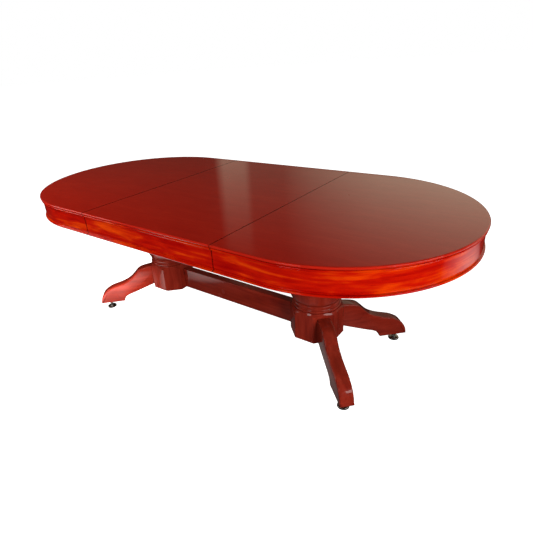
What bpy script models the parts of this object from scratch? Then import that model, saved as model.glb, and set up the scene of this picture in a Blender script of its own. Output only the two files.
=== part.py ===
"""Racetrack gaming table: a padded playing well on two turned pedestals, under a three-piece dining cover.

Frame: X runs along the table, the front long side is at -Y, Z is up, and the floor is at z = 0.
All sizes are in metres. Each named object is one physical piece.
"""
import math

import bmesh
import bpy
from mathutils import Matrix, Vector
from mathutils.geometry import interpolate_bezier

# ---------------------------------------------------------------- driving dimensions

GAP = 0.0003  # left between pieces that touch

LENGTH = 2.342
WIDTH = 1.132
HEIGHT = 0.762
END_RADIUS = WIDTH / 2
HALF_STRAIGHT = (LENGTH - WIDTH) / 2
ARC_STEPS = 20  # facets in each half-round end

# The dining cover: three sections, each a panel with its own skirt and base bead.
SEAM_X = 0.3875
SEAM_GAP = 0.0022
PANEL_BOTTOM = HEIGHT - 0.022
LIP_TOP = HEIGHT - 0.0128  # the skirt's upper moulding, which the panel's rebated edge sits on
SKIRT_BOTTOM = HEIGHT - 0.094
COVER_BOTTOM = HEIGHT - 0.1105
SKIRT_INSET = 0.0095
SKIRT_INNER = 0.0275

# The playing frame under the cover.
DECK_INSET = 0.034
DECK_BOTTOM, DECK_TOP = 0.6535, 0.6715
RAIL_INNER = 0.139
RAIL_BOARD_TOP = 0.690
RAIL_TOP = PANEL_BOTTOM - 0.0005
CLOTH_THICKNESS = 0.008
CLOTH_INSET = RAIL_INNER + 0.001

BEARER_Y, BEARER_WIDTH, BEARER_HALF_LENGTH = 0.170, 0.045, 0.900
BEARER_BOTTOM = 0.6222
CROSS_RAIL_BOTTOM = 0.5909
CROSS_RAIL_WIDTH, CROSS_RAIL_HALF_LENGTH = 0.090, 0.320
TOP_PLATE_BOTTOM, TOP_PLATE_HALF = 0.5686, 0.130

# The two pedestals: a hollow octagonal block with a turned urn on it.
PEDESTAL_X = 0.502
BLOCK_APOTHEM, CAVITY_APOTHEM = 0.120, 0.088
BLOCK_BOTTOM, BLOCK_TOP, CAVITY_TOP = 0.1235, 0.2765, 0.254
BASE_PLATE_APOTHEM, BASE_PLATE_THICKNESS = 0.105, 0.012
URN_SEGMENTS = 24

# The stretcher and the legs, bolted on from inside the blocks.
STRETCHER_THICKNESS, STRETCHER_BOTTOM, STRETCHER_TOP = 0.045, 0.125, 0.2445
STRETCHER_BOLT_HEIGHTS = (0.158, 0.212)
LEG_THICKNESS, LEG_BOTTOM, LEG_TOE = 0.062, 0.0415, 0.4575
LEG_BOLT_HEIGHTS = (0.172, 0.222)
BOLT_RADIUS, BOLT_REACH, BOLT_SEGMENTS = 0.004, 0.165, 12
BOLT_BORE_RADIUS = BOLT_RADIUS + 0.0005
TIE_RADIUS = 0.006
TIE_BORE_RADIUS = TIE_RADIUS + 0.0006
COUNTERBORE_DEPTH = 0.010

# The levelling glides: a disc, a threaded stem and a threaded insert in the leg.
FOOT_REACH = 0.407  # from the pedestal's axis, along the leg
DISC_RADIUS, DISC_HEIGHT, HUB_RADIUS, HUB_TOP = 0.0265, 0.009, 0.0105, 0.013
STEM_RADIUS, STEM_TOP = 0.005, 0.060
INSERT_RADIUS, INSERT_HEIGHT, INSERT_BORE_DEPTH = 0.0085, 0.022, 0.038
FOOT_SEGMENTS = 18

# Colour, roughness and metallic value of each finish.
FINISHES = {
    "top_mahogany": ((0.30, 0.045, 0.015), 0.12, 0.0),
    "band_mahogany": ((0.42, 0.015, 0.004), 0.12, 0.0),
    "dark_mahogany": ((0.13, 0.020, 0.012), 0.15, 0.0),
    "plywood": ((0.55, 0.38, 0.22), 0.65, 0.0),
    "vinyl": ((0.035, 0.022, 0.018), 0.45, 0.0),
    "cloth": ((0.015, 0.110, 0.050), 0.95, 0.0),
    "steel": ((0.62, 0.61, 0.58), 0.30, 1.0),
    "glide_metal": ((0.50, 0.48, 0.45), 0.35, 1.0),
}

TURN_TO_X = Matrix.Rotation(math.radians(90), 4, "Y")  # lays a piece turned about Z along +X


# ---------------------------------------------------------------- mesh helpers

def skin(bm, rings, wrap_ring, wrap_path):
    """Quads between each ring of vertices and the next one along the path."""
    following = rings[1:] + rings[:1] if wrap_path else rings[1:]
    for ring, after in zip(rings, following):
        for i in range(len(ring) if wrap_ring else len(ring) - 1):
            j = (i + 1) % len(ring)
            bm.faces.new((ring[i], ring[j], after[j], after[i]))


def turned(bm, profile, segments, matrix=Matrix.Identity(4), bored=False):
    """A turned solid about Z. Profile rows are (radius, z), or (half width across flats, z, sides).

    A bored piece's profile is a closed loop, and a plain one's runs from its bottom face to its top face.
    """
    rings = []
    for radius, z, *sides in profile:
        ring = []
        for k in range(segments):
            angle = math.tau * k / segments
            reach = radius
            if sides:
                sector = math.tau / sides[0]
                reach = radius / math.cos((angle + sector / 2) % sector - sector / 2)
            corner = Vector((reach * math.cos(angle), reach * math.sin(angle), z))
            ring.append(bm.verts.new(matrix @ corner))
        rings.append(ring)
    skin(bm, rings, wrap_ring=True, wrap_path=bored)
    if not bored:
        bm.faces.new(rings[0])
        bm.faces.new(rings[-1])


def extruded(bm, outline, low, high, place):
    """A closed outline of 2-D points swept from low to high; place(a, b, t) gives a corner's position."""
    rings = [[bm.verts.new(place(a, b, t)) for a, b in outline] for t in (low, high)]
    skin(bm, rings, wrap_ring=True, wrap_path=False)
    bm.faces.new(rings[0])
    bm.faces.new(rings[1])


def octagon(apothem):
    """Eight corners with flats facing 0, 45, 90 ... degrees."""
    reach = apothem / math.cos(math.pi / 8)
    angles = [math.pi / 8 + math.pi / 4 * k for k in range(8)]
    return [(reach * math.cos(a), reach * math.sin(a)) for a in angles]


def bezier(start, start_handle, end_handle, end, steps):
    """Points of a cubic curve, without its first point."""
    knots = [Vector((u, z, 0)) for u, z in (start, start_handle, end_handle, end)]
    return [(p.x, p.y) for p in interpolate_bezier(*knots, steps + 1)][1:]


def bead(radius, z_middle, half_height, bulge, steps=3):
    """A half-round ring of a turned profile, from bottom to top."""
    turns = [math.pi * (k / steps - 0.5) for k in range(steps + 1)]
    return [(radius + bulge * math.cos(t), z_middle + half_height * math.sin(t)) for t in turns]


# ---------------------------------------------------------------- object helpers

def empty(name, location=(0, 0, 0), parent=None):
    marker = bpy.data.objects.new(name, None)
    marker.location = location
    marker.parent = parent
    bpy.context.scene.collection.objects.link(marker)
    return marker


def piece(name, bm, finish, parent, location=(0, 0, 0), turn=0.0, round_piece=False):
    """One physical piece as an object with its own material."""
    bmesh.ops.recalc_face_normals(bm, faces=bm.faces)
    mesh = bpy.data.meshes.new(name)
    bm.to_mesh(mesh)
    bm.free()
    if round_piece:
        mesh.shade_smooth()
        mesh.set_sharp_from_angle(angle=math.radians(40))
    color, roughness, metallic = FINISHES[finish]
    material = bpy.data.materials.new(name)
    material.use_nodes = True
    shader = material.node_tree.nodes["Principled BSDF"]
    shader.inputs["Base Color"].default_value = (*color, 1)
    shader.inputs["Roughness"].default_value = roughness
    shader.inputs["Metallic"].default_value = metallic
    mesh.materials.append(material)
    obj = bpy.data.objects.new(name, mesh)
    obj.location = location
    obj.rotation_euler.z = turn
    obj.parent = parent
    bpy.context.scene.collection.objects.link(obj)
    return obj


def boolean(target, bm, operation="DIFFERENCE"):
    """Cuts the target by the mesh in bm, which is in the target's own frame."""
    bmesh.ops.recalc_face_normals(bm, faces=bm.faces)
    mesh = bpy.data.meshes.new(target.name + "_cutter")
    bm.to_mesh(mesh)
    bm.free()
    cutter = bpy.data.objects.new(mesh.name, mesh)
    cutter.parent = target
    cutter.hide_render = True
    cutter.display_type = "WIRE"
    bpy.context.scene.collection.objects.link(cutter)
    modifier = target.modifiers.new("cut", "BOOLEAN")
    modifier.operation = operation
    modifier.object = cutter


def edge_bevel(obj, width, segments=1):
    modifier = obj.modifiers.new("eased_edges", "BEVEL")
    modifier.width = width
    modifier.segments = segments
    modifier.limit_method = "ANGLE"


def block_of_wood(name, low, high, finish, parent, bevel=0.0):
    """A sawn board between two opposite corners."""
    bm = bmesh.new()
    outline = [(low[0], low[1]), (high[0], low[1]), (high[0], high[1]), (low[0], high[1])]
    extruded(bm, outline, low[2], high[2], lambda a, b, t: (a, b, t))
    obj = piece(name, bm, finish, parent)
    if bevel:
        edge_bevel(obj, bevel)
    return obj


# ---------------------------------------------------------------- racetrack outline

def arc_stations(side):
    """The half-round end at side +1 or -1, as (centre x, angle) pairs, counter-clockwise."""
    first = -90 if side > 0 else 90
    return [(side * HALF_STRAIGHT, math.radians(first + 180 * k / ARC_STEPS)) for k in range(ARC_STEPS + 1)]


def end_stations(side):
    """One end section's outline, from its seam round to its seam."""
    seam = side * (SEAM_X + SEAM_GAP / 2)
    arc = arc_stations(side)
    return [(seam, arc[0][1])] + arc + [(seam, arc[-1][1])]


def outline_point(station, inset, z):
    center_x, angle = station
    reach = END_RADIUS - inset
    return (center_x + reach * math.cos(angle), reach * math.sin(angle), z)


def racetrack_slab(name, stations, edge, whole, finish, parent):
    """A solid board with this (inset, z) outer edge; whole says that the stations close on themselves."""
    bm = bmesh.new()
    rings = [[bm.verts.new(outline_point(s, inset, z)) for inset, z in edge] for s in stations]
    skin(bm, rings, wrap_ring=False, wrap_path=whole)
    bm.faces.new([ring[0] for ring in rings])
    bm.faces.new([ring[-1] for ring in rings])
    if not whole:
        bm.faces.new(rings[0] + rings[-1][::-1])
    return piece(name, bm, finish, parent, round_piece=True)


def racetrack_strip(name, stations, section, whole, finish, parent):
    """A strip of closed (inset, z) cross-section that follows the outline."""
    bm = bmesh.new()
    rings = [[bm.verts.new(outline_point(s, inset, z)) for inset, z in section] for s in stations]
    skin(bm, rings, wrap_ring=True, wrap_path=whole)
    if not whole:
        bm.faces.new(rings[0])
        bm.faces.new(rings[-1])
    return piece(name, bm, finish, parent, round_piece=True)


# ---------------------------------------------------------------- dining cover

PANEL_EDGE = [
    (0.0060, HEIGHT), (0.0022, HEIGHT - 0.0012), (0.0004, HEIGHT - 0.0034),  # rounded nose
    (0.0000, HEIGHT - 0.0055), (0.0010, HEIGHT - 0.0080),
    (0.0045, HEIGHT - 0.0096), (0.0056, HEIGHT - 0.0112), (0.0056, LIP_TOP + GAP),  # quirk
    (SKIRT_INNER + GAP, LIP_TOP + GAP), (SKIRT_INNER + GAP, PANEL_BOTTOM),
]

SKIRT_SECTION = [
    (0.0054, LIP_TOP), (0.0032, LIP_TOP - 0.0010), (0.0026, LIP_TOP - 0.0032),  # small ovolo
    (0.0042, LIP_TOP - 0.0060), (SKIRT_INSET - 0.001, PANEL_BOTTOM),
    (SKIRT_INSET, PANEL_BOTTOM - 0.001), (SKIRT_INSET, SKIRT_BOTTOM),
    (SKIRT_INNER, SKIRT_BOTTOM), (SKIRT_INNER, LIP_TOP),
]

BASE_BEAD_SECTION = [
    (SKIRT_INSET, SKIRT_BOTTOM - GAP), (0.0122, SKIRT_BOTTOM - 0.0014),
    (0.0122, SKIRT_BOTTOM - 0.0068), (0.0092, SKIRT_BOTTOM - 0.0080),  # groove
    (0.0054, SKIRT_BOTTOM - 0.0084), (0.0034, SKIRT_BOTTOM - 0.0102),  # half-round bead
    (0.0030, SKIRT_BOTTOM - 0.0122), (0.0038, SKIRT_BOTTOM - 0.0146), (0.0060, COVER_BOTTOM),
    (SKIRT_INNER, COVER_BOTTOM), (SKIRT_INNER, SKIRT_BOTTOM - GAP),
]


def centre_bar(name, section, finish, parent):
    """A piece of the centre section: a (y, z) cross-section run from seam to seam."""
    bm = bmesh.new()
    half = SEAM_X - SEAM_GAP / 2
    extruded(bm, section, -half, half, lambda a, b, t: (t, a, b))
    return piece(name, bm, finish, parent, round_piece=True)


def dining_cover(root):
    """Three sections that lift straight up; each one's pieces hang on its own empty."""
    for name, side in (("left", -1), ("right", 1)):
        lift = empty("cover_" + name + "_lift", parent=root)
        stations = end_stations(side)
        racetrack_slab("cover_panel_" + name, stations, PANEL_EDGE, False, "top_mahogany", lift)
        racetrack_strip("skirt_" + name, stations, SKIRT_SECTION, False, "band_mahogany", lift)
        racetrack_strip("base_bead_" + name, stations, BASE_BEAD_SECTION, False, "band_mahogany", lift)
    lift = empty("cover_centre_lift", parent=root)
    front_edge = [(-(END_RADIUS - inset), z) for inset, z in PANEL_EDGE]
    back_edge = [(-y, z) for y, z in reversed(front_edge)]
    centre_bar("cover_panel_centre", front_edge + back_edge, "top_mahogany", lift)
    for name, side in (("front", -1), ("back", 1)):
        for stem, section in (("skirt_centre_", SKIRT_SECTION), ("base_bead_centre_", BASE_BEAD_SECTION)):
            placed = [(side * (END_RADIUS - inset), z) for inset, z in section]
            centre_bar(stem + name, placed, "band_mahogany", lift)


# ---------------------------------------------------------------- playing frame

def playing_frame(root):
    whole = arc_stations(1) + arc_stations(-1)
    racetrack_slab("deck_board", whole, [(DECK_INSET, DECK_TOP), (DECK_INSET, DECK_BOTTOM)], True,
                   "plywood", root)
    board_bottom = DECK_TOP + GAP
    board = [(DECK_INSET + 0.002, RAIL_BOARD_TOP), (DECK_INSET + 0.002, board_bottom),
             (RAIL_INNER, board_bottom), (RAIL_INNER, RAIL_BOARD_TOP)]
    racetrack_strip("rail_board", whole, board, True, "plywood", root)
    pad_bottom = RAIL_BOARD_TOP + GAP
    pad = [(DECK_INSET, pad_bottom), (DECK_INSET, RAIL_TOP - 0.022)]
    pad += bezier(pad[-1], (DECK_INSET, RAIL_TOP - 0.006), (DECK_INSET + 0.012, RAIL_TOP),
                  ((DECK_INSET + RAIL_INNER) / 2, RAIL_TOP), 3)
    pad += bezier(pad[-1], (RAIL_INNER - 0.012, RAIL_TOP), (RAIL_INNER, RAIL_TOP - 0.006),
                  (RAIL_INNER, RAIL_TOP - 0.022), 3)
    pad.append((RAIL_INNER, pad_bottom))
    racetrack_strip("padded_rail", whole, pad, True, "vinyl", root)
    cloth_bottom = DECK_TOP + GAP
    cloth = [(CLOTH_INSET, cloth_bottom + CLOTH_THICKNESS), (CLOTH_INSET, cloth_bottom)]
    racetrack_slab("playing_cloth", whole, cloth, True, "cloth", root)

    for name, side in (("front", -1), ("back", 1)):
        low_y, high_y = (side * BEARER_Y - BEARER_WIDTH / 2, side * BEARER_Y + BEARER_WIDTH / 2)
        block_of_wood("bearer_" + name, (-BEARER_HALF_LENGTH, low_y, BEARER_BOTTOM),
                      (BEARER_HALF_LENGTH, high_y, DECK_BOTTOM - GAP), "plywood", root)
    for name, side in (("left", -1), ("right", 1)):
        x = side * PEDESTAL_X
        block_of_wood("cross_rail_" + name,
                      (x - CROSS_RAIL_WIDTH / 2, -CROSS_RAIL_HALF_LENGTH, CROSS_RAIL_BOTTOM),
                      (x + CROSS_RAIL_WIDTH / 2, CROSS_RAIL_HALF_LENGTH, BEARER_BOTTOM - GAP),
                      "plywood", root, bevel=0.004)


# ---------------------------------------------------------------- pedestals

def urn_profile():
    """The turned urn from its foot to its top, as (radius, z)."""
    foot_z, top_z = BLOCK_TOP + GAP, TOP_PLATE_BOTTOM - GAP
    rings = bead(0.1125, foot_z + 0.0070, 0.0070, 0.0045)
    rings += [(0.1105, 0.2930)] + bead(0.1095, 0.3035, 0.0080, 0.0045) + [(0.1055, 0.3145)]
    bowl = bezier((0.1150, 0.3180), (0.1230, 0.3230), (0.1345, 0.3550), (0.1340, 0.3950), 4)
    neck = bezier(bowl[-1], (0.1335, 0.4450), (0.0760, 0.4400), (0.0740, 0.4900), 5)
    collar = bead(0.0740, 0.4980, 0.0070, 0.0080)
    cap = bezier((0.0740, 0.5060), (0.0760, 0.5350), (0.1000, 0.5350), (0.1060, 0.5560), 3)
    return rings + [(0.1150, 0.3180)] + bowl + neck + collar + [(0.0740, 0.5060)] + cap + [(0.1060, top_z)]


def bolt_profile():
    """A hex bolt on its axis; distances run from the pedestal's axis out into the leg."""
    under_head = CAVITY_APOTHEM - GAP
    return [(0.0065, under_head - 0.0055, 6), (0.0065, under_head, 6),
            (BOLT_RADIUS, under_head), (BOLT_RADIUS, BOLT_REACH)]


def bolt_bores(bm, heights, angle, start, end):
    """Cutting rods for one face's bolts."""
    for z in heights:
        place = Matrix.Translation((0, 0, z)) @ Matrix.Rotation(angle, 4, "Z") @ TURN_TO_X
        turned(bm, [(BOLT_BORE_RADIUS, start), (BOLT_BORE_RADIUS, end)], BOLT_SEGMENTS, place)


def octagonal_block(name, x, inward, leg_angles, root):
    """The hollow staved block, open below, whose top is turned to a round shoulder."""
    bm = bmesh.new()
    extruded(bm, octagon(BLOCK_APOTHEM), BLOCK_BOTTOM, BLOCK_TOP, lambda a, b, t: (a, b, t))
    block = piece("block_" + name, bm, "dark_mahogany", root, location=(x, 0, 0))
    shoulder = bmesh.new()
    turned(shoulder, [(0.145, BLOCK_BOTTOM - 0.010), (0.145, BLOCK_TOP - 0.0330),
                      (0.1299, BLOCK_TOP - 0.0180), (0.1240, BLOCK_TOP - 0.0120),
                      (0.1195, BLOCK_TOP - 0.0065), (0.1165, BLOCK_TOP)], 32)
    boolean(block, shoulder, "INTERSECT")
    hollow = bmesh.new()
    extruded(hollow, octagon(CAVITY_APOTHEM), BLOCK_BOTTOM - 0.010, CAVITY_TOP, lambda a, b, t: (a, b, t))
    boolean(block, hollow)
    bores = bmesh.new()
    turned(bores, [(TIE_BORE_RADIUS, CAVITY_TOP - 0.01), (TIE_BORE_RADIUS, BLOCK_TOP + 0.01)],
           BOLT_SEGMENTS)
    wall = (CAVITY_APOTHEM - 0.010, BLOCK_APOTHEM + 0.010)
    for angle in leg_angles:
        bolt_bores(bores, LEG_BOLT_HEIGHTS, angle, *wall)
    bolt_bores(bores, STRETCHER_BOLT_HEIGHTS, inward, *wall)
    boolean(block, bores)


def pedestal(name, x, root):
    inward = math.pi if x > 0 else 0.0
    outward = math.pi - inward
    splay = math.copysign(math.pi / 4, x)
    leg_turns = {"back": outward + splay, "front": outward - splay}
    octagonal_block(name, x, inward, leg_turns.values(), root)

    bm = bmesh.new()
    outer = urn_profile()
    bore = [(TIE_BORE_RADIUS, outer[-1][1]), (TIE_BORE_RADIUS, outer[0][1])]
    turned(bm, outer + bore, URN_SEGMENTS, bored=True)
    piece("urn_" + name, bm, "dark_mahogany", root, location=(x, 0, 0), round_piece=True)

    plate_top = BLOCK_BOTTOM - GAP
    plate_bottom = plate_top - BASE_PLATE_THICKNESS
    bm = bmesh.new()
    extruded(bm, octagon(BASE_PLATE_APOTHEM), plate_bottom, plate_top, lambda a, b, t: (a, b, t))
    plate = piece("base_plate_" + name, bm, "dark_mahogany", root, location=(x, 0, 0))
    hole = bmesh.new()
    turned(hole, [(TIE_BORE_RADIUS, plate_bottom - 0.01), (TIE_BORE_RADIUS, plate_top + 0.01)],
           BOLT_SEGMENTS)
    boolean(plate, hole)

    top_plate_top = CROSS_RAIL_BOTTOM - GAP
    bm = bmesh.new()
    h = TOP_PLATE_HALF
    square = [(-h, -h), (h, -h), (h, h), (-h, h)]
    extruded(bm, square, TOP_PLATE_BOTTOM, top_plate_top, lambda a, b, t: (a, b, t))
    plate = piece("top_plate_" + name, bm, "dark_mahogany", root, location=(x, 0, 0))
    hole = bmesh.new()
    seat = top_plate_top - COUNTERBORE_DEPTH
    turned(hole, [(TIE_BORE_RADIUS, TOP_PLATE_BOTTOM - 0.01), (TIE_BORE_RADIUS, seat),
                  (0.0135, seat), (0.0135, top_plate_top + 0.01)], BOLT_SEGMENTS)
    boolean(plate, hole)

    bm = bmesh.new()
    nut_top = plate_bottom - GAP
    rod_end = nut_top - 0.0115
    head_bottom = seat + GAP
    turned(bm, [(TIE_RADIUS, rod_end), (TIE_RADIUS, head_bottom), (0.0095, head_bottom, 6),
                (0.0095, head_bottom + 0.0080, 6)], BOLT_SEGMENTS)
    piece("tie_bolt_" + name, bm, "steel", root, location=(x, 0, 0), round_piece=True)
    bm = bmesh.new()
    nut_bore = TIE_RADIUS + 0.0005
    turned(bm, [(0.0095, nut_top - 0.010, 6), (0.0095, nut_top, 6), (nut_bore, nut_top),
                (nut_bore, nut_top - 0.010)], BOLT_SEGMENTS, bored=True)
    piece("tie_nut_" + name, bm, "steel", root, location=(x, 0, 0))

    bolt_sets = [("stretcher_bolt_" + name, inward, STRETCHER_BOLT_HEIGHTS)]
    bolt_sets += [("leg_bolt_" + end + "_" + name, turn, LEG_BOLT_HEIGHTS)
                  for end, turn in leg_turns.items()]
    for stem, turn, heights in bolt_sets:
        for level, z in zip(("_lower", "_upper"), heights):
            bm = bmesh.new()
            turned(bm, bolt_profile(), BOLT_SEGMENTS, TURN_TO_X)
            piece(stem + level, bm, "steel", root, location=(x, 0, z), turn=turn, round_piece=True)
    for end, turn in leg_turns.items():
        leg(end + "_" + name, x, turn, root)
        levelling_foot(end + "_" + name, x, turn, root)


def stretcher(root):
    half_length = PEDESTAL_X - BLOCK_APOTHEM - GAP
    half = STRETCHER_THICKNESS / 2
    rail = block_of_wood("stretcher", (-half_length, -half, STRETCHER_BOTTOM),
                         (half_length, half, STRETCHER_TOP), "dark_mahogany", root, bevel=0.003)
    bores = bmesh.new()
    reach = BOLT_REACH - BLOCK_APOTHEM + 0.005
    for z in STRETCHER_BOLT_HEIGHTS:
        for side in (-1, 1):
            ends = sorted((side * (half_length - reach), side * (half_length + 0.010)))
            turned(bores, [(BOLT_BORE_RADIUS, ends[0]), (BOLT_BORE_RADIUS, ends[1])], BOLT_SEGMENTS,
                   Matrix.Translation((0, 0, z)) @ TURN_TO_X)
    boolean(rail, bores)


# ---------------------------------------------------------------- legs and feet

LEG_ROOT = BLOCK_APOTHEM + GAP


def leg_top():
    """The leg's upper line from the block to the toe: (distance from the pedestal's axis, height)."""
    points = [(LEG_ROOT, 0.2555)]
    points += bezier(points[-1], (0.150, 0.251), (0.188, 0.2475), (0.205, 0.235), 4)
    points += bezier(points[-1], (0.217, 0.2262), (0.233, 0.2075), (0.250, 0.191), 4)
    points += bezier(points[-1], (0.266, 0.1755), (0.300, 0.1598), (0.330, 0.152), 4)
    points += bezier(points[-1], (0.355, 0.145), (0.383, 0.140), (0.400, 0.128), 4)
    points += bezier(points[-1], (0.428, 0.116), (0.456, 0.085), (LEG_TOE, LEG_BOTTOM), 6)
    return points


def leg_underside():
    """The lower line from the toe's pad back to the block."""
    points = [(0.3175, LEG_BOTTOM)]
    points += bezier(points[-1], (0.315, 0.064), (0.298, 0.079), (0.262, 0.0885), 5)
    points += bezier(points[-1], (0.225, 0.100), (0.165, 0.1225), (LEG_ROOT, 0.138), 3)
    return points


def lowered(line, depth):
    """The upper line moved inward, except that its ends stay on the block's face and the pad."""
    moved = []
    for i, (u, z) in enumerate(line):
        before, after = line[max(i - 1, 0)], line[min(i + 1, len(line) - 1)]
        run, rise = after[0] - before[0], after[1] - before[1]
        size = math.hypot(run, rise)
        moved.append((u + depth * rise / size, z - depth * run / size))
    moved[0] = (line[0][0], line[0][1] - depth)
    moved[-1] = (line[-1][0] - depth, line[-1][1])
    return moved


def leg(name, x, turn, root):
    """A sawn scroll leg whose upper edges are rounded over."""
    half, radius = LEG_THICKNESS / 2, 0.007
    layers = [(half - radius * (1 - math.sin(a)), radius * (1 - math.cos(a)))
              for a in (0, math.pi / 4, math.pi / 2)]
    bm = bmesh.new()
    rings = []
    for side in (-1, 1):
        for y, depth in (reversed(layers) if side < 0 else layers):
            outline = lowered(leg_top(), depth) + leg_underside()
            rings.append([bm.verts.new((u, side * y, z)) for u, z in outline])
    skin(bm, rings, wrap_ring=True, wrap_path=False)
    bm.faces.new(rings[0])
    bm.faces.new(rings[-1])
    obj = piece("leg_" + name, bm, "dark_mahogany", root, location=(x, 0, 0), turn=turn, round_piece=True)
    bores = bmesh.new()
    bolt_bores(bores, LEG_BOLT_HEIGHTS, 0, BLOCK_APOTHEM - 0.005, BOLT_REACH + 0.005)
    bore_radius = INSERT_RADIUS + 0.0004
    turned(bores, [(bore_radius, LEG_BOTTOM - 0.005), (bore_radius, LEG_BOTTOM + INSERT_BORE_DEPTH)],
           FOOT_SEGMENTS, Matrix.Translation((FOOT_REACH, 0, 0)))
    boolean(obj, bores)


def levelling_foot(name, x, turn, root):
    place = (x + FOOT_REACH * math.cos(turn), FOOT_REACH * math.sin(turn), 0)
    bm = bmesh.new()
    bore, low = STEM_RADIUS + 0.0004, LEG_BOTTOM + GAP
    turned(bm, [(INSERT_RADIUS, low), (INSERT_RADIUS, low + INSERT_HEIGHT),
                (bore, low + INSERT_HEIGHT), (bore, low)], FOOT_SEGMENTS, bored=True)
    piece("foot_insert_" + name, bm, "steel", root, location=place, round_piece=True)

    glide = empty("foot_" + name + "_glide", place, root)
    bm = bmesh.new()
    socket = STEM_RADIUS + 0.0008
    floor_of_socket = 0.0050
    turned(bm, [(DISC_RADIUS - 0.001, 0), (DISC_RADIUS, 0.001), (DISC_RADIUS, DISC_HEIGHT - 0.003),
                (DISC_RADIUS - 0.002, DISC_HEIGHT - 0.001), (HUB_RADIUS, DISC_HEIGHT),
                (HUB_RADIUS, HUB_TOP), (socket, HUB_TOP), (socket, floor_of_socket)], FOOT_SEGMENTS)
    piece("foot_base_" + name, bm, "glide_metal", glide, round_piece=True)
    bm = bmesh.new()
    collar_low, collar_high = HUB_TOP + 0.003, HUB_TOP + 0.010
    turned(bm, [(STEM_RADIUS, floor_of_socket + 0.0005), (STEM_RADIUS, collar_low),
                (0.0085, collar_low, 6), (0.0085, collar_high, 6),
                (STEM_RADIUS, collar_high), (STEM_RADIUS, STEM_TOP)], FOOT_SEGMENTS)
    piece("foot_stem_" + name, bm, "steel", glide, round_piece=True)


# ---------------------------------------------------------------- the table

def main():
    for obj in list(bpy.data.objects):
        bpy.data.objects.remove(obj, do_unlink=True)
    root = empty("gaming_table")
    dining_cover(root)
    playing_frame(root)
    for name, side in (("left", -1), ("right", 1)):
        pedestal(name, side * PEDESTAL_X, root)
    stretcher(root)


main()
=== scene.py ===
"""The looks of the racetrack gaming table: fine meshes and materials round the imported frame.

Metres, in the frame's own axes: X along the table, front side at -Y, floor at z = 0.
"""
import math

import bmesh
import bpy
from mathutils import Matrix, Vector, noise
from mathutils.geometry import interpolate_bezier

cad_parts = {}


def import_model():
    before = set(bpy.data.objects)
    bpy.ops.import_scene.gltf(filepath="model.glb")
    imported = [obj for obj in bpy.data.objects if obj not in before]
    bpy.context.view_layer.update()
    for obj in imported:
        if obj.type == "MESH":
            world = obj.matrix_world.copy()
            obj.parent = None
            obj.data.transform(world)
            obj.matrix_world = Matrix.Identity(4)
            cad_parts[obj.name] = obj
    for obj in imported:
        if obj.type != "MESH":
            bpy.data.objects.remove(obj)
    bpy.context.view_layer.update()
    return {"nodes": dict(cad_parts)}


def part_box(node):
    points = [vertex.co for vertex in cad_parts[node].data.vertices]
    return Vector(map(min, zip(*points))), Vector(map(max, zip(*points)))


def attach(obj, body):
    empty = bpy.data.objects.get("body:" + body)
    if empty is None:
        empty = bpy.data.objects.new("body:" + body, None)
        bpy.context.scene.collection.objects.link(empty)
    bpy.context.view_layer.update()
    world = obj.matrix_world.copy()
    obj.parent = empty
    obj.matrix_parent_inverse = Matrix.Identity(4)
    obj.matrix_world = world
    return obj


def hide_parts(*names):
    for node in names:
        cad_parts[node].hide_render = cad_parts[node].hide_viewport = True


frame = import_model()

# ---------------------------------------------------------------- sizes read from the frame

ROOT = "table_frame"
SIDES = (("left", -1), ("right", 1))
ENDS = (("front", -1), ("back", 1))

panel_low, panel_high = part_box("cover_panel_left")
END_RADIUS = panel_high.y
HEIGHT = panel_high.z
PANEL_BOTTOM = panel_low.z
HALF_STRAIGHT = -panel_low.x - END_RADIUS
SEAM_X = -panel_high.x
SKIRT_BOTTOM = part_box("skirt_left")[0].z
LIP_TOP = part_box("skirt_left")[1].z
BEAD_BOTTOM, BEAD_TOP = (corner.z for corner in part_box("base_bead_left"))
LIP_INSET = END_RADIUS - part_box("skirt_left")[1].y
SKIRT_INSET = LIP_INSET + 0.0069
SKIRT_INNER = SKIRT_INSET + 0.018
ARC_STEPS = 96

BLOCK_LOW, BLOCK_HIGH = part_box("block_right")
PEDESTAL_X = (BLOCK_LOW.x + BLOCK_HIGH.x) / 2
BLOCK_APOTHEM = (BLOCK_HIGH.x - BLOCK_LOW.x) / 2
URN_BOTTOM, URN_TOP = (corner.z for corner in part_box("urn_right"))


# ---------------------------------------------------------------- materials

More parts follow.
